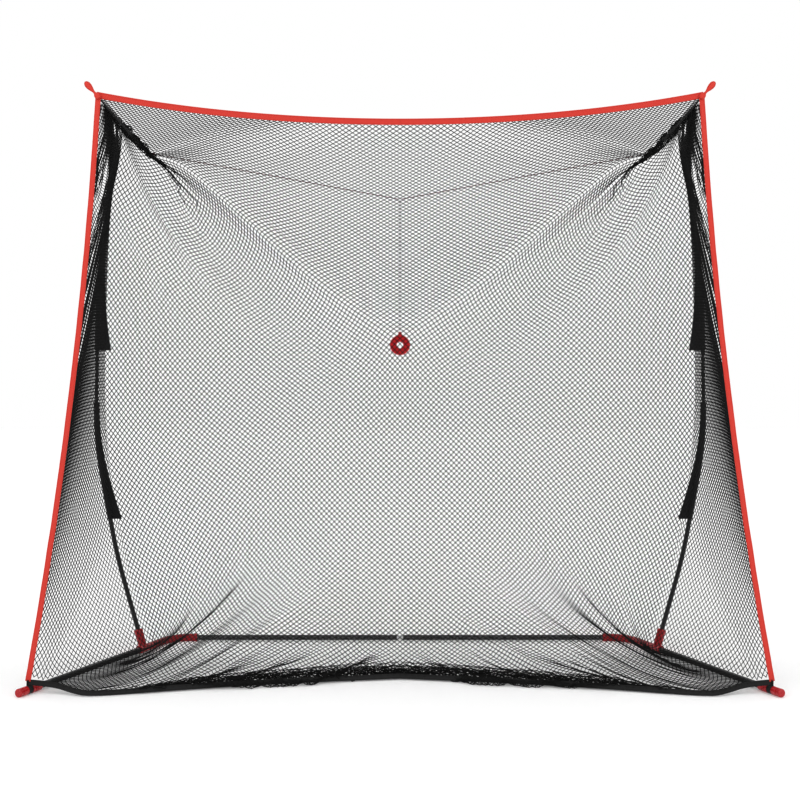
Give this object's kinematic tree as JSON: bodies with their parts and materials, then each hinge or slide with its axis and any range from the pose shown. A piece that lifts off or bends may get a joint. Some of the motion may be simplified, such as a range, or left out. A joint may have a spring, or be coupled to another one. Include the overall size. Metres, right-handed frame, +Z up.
{
  "type": "pitching target net",
  "caption": "Free-standing sports practice net: diamond netting bag on a U-shaped tube base and bowed poles, with a hanging ring target.",
  "frame": {"origin": "on the ground, at the middle of the width and depth of the standing net", "axes": "+X to the right seen from in front of the mouth, +Y from the mouth to the rear bar, +Z up"},
  "size_m": [3.0844, 1.0739, 2.5229],
  "materials": {
    "black_steel": "satin",
    "bright_steel": "satin",
    "button_steel": "polished",
    "spring_steel": "satin",
    "red_plastic": "gloss",
    "black_fibreglass": "satin",
    "black_plastic": "matte",
    "elastic_cord": "matte",
    "sleeve_fabric": "matte",
    "red_webbing": "satin",
    "black_webbing": "matte",
    "netting": "matte",
    "red_cord": "matte",
    "target_rubber": "satin"
  },
  "bodies": {
    "centre_button": {"centre_button": "button_steel", "centre_spring": "spring_steel"},
    "root": {"centre_ferrule": "bright_steel", "centre_rivet": "bright_steel", "cord_knot_left": "red_cord", "cord_knot_right": "red_cord", "cord_ring": "bright_steel", "corner_band_left": "black_webbing", "corner_band_right": "black_webbing", "corner_fitting_left": "red_plastic", "corner_fitting_right": "red_plastic", "fitting_screws": "bright_steel", "foot_cap_left": "red_plastic", "foot_cap_right": "red_plastic", "foot_strap_left": "black_webbing", "foot_strap_right": "black_webbing", "front_hem": "black_webbing", "net_back": "netting", "net_roof": "netting", "net_side_left": "netting", "net_side_right": "netting", "rear_bar_left": "black_steel", "rear_bar_right": "black_steel", "side_hem_left": "black_webbing", "side_hem_right": "black_webbing", "side_rail_left": "black_steel", "side_rail_right": "black_steel", "side_trim_left": "red_webbing", "side_trim_right": "red_webbing", "target_cord_left": "red_cord", "target_cord_right": "red_cord", "top_trim": "red_webbing"},
    "upright_left": {"corner_loop_left": "red_webbing", "pole_lower_left": "black_fibreglass", "pole_middle_left": "black_fibreglass", "pole_plug_left": "black_plastic", "pole_tip_left": "black_plastic", "pole_upper_left": "black_fibreglass", "shock_cord_left": "elastic_cord", "sleeve_lower_left": "sleeve_fabric", "sleeve_upper_left": "sleeve_fabric"},
    "upright_right": {"corner_loop_right": "red_webbing", "pole_lower_right": "black_fibreglass", "pole_middle_right": "black_fibreglass", "pole_plug_right": "black_plastic", "pole_tip_right": "black_plastic", "pole_upper_right": "black_fibreglass", "shock_cord_right": "elastic_cord", "sleeve_lower_right": "sleeve_fabric", "sleeve_upper_right": "sleeve_fabric"},
    "target": {"drop_cord": "elastic_cord", "drop_link": "elastic_cord", "target_disc": "target_rubber", "target_tab": "target_rubber"},
    "rail_button_left": {"rail_button_left": "button_steel", "rail_spring_left": "spring_steel"},
    "rail_button_right": {"rail_button_right": "button_steel", "rail_spring_right": "spring_steel"}
  },
  "joints": [
    {"name": "upright_left_lift", "type": "slide", "parent": "root", "child": "upright_left", "axis": [-0.3059, 0.1227, 0.9441], "range_m": [0, 0.08]},
    {"name": "rail_button_left_press", "type": "slide", "parent": "root", "child": "rail_button_left", "axis": [0, 0, -1], "range_m": [0, 0.0074], "stiffness_N_per_m": 600, "deforming": ["rail_spring_left"]},
    {"name": "upright_right_lift", "type": "slide", "parent": "root", "child": "upright_right", "axis": [0.3059, 0.1227, 0.9441], "range_m": [0, 0.08]},
    {"name": "rail_button_right_press", "type": "slide", "parent": "root", "child": "rail_button_right", "axis": [0, 0, -1], "range_m": [0, 0.0074], "stiffness_N_per_m": 600, "deforming": ["rail_spring_right"]},
    {"name": "centre_button_press", "type": "slide", "parent": "root", "child": "centre_button", "axis": [0, 0, -1], "range_m": [0, 0.004], "stiffness_N_per_m": 600, "deforming": ["centre_spring"]},
    {"name": "target_swing", "type": "hinge", "parent": "root", "child": "target", "pos_m": [0, 0.435, 2.158], "axis": [1, 0, 0], "range_deg": [0, 40]}
  ]
}
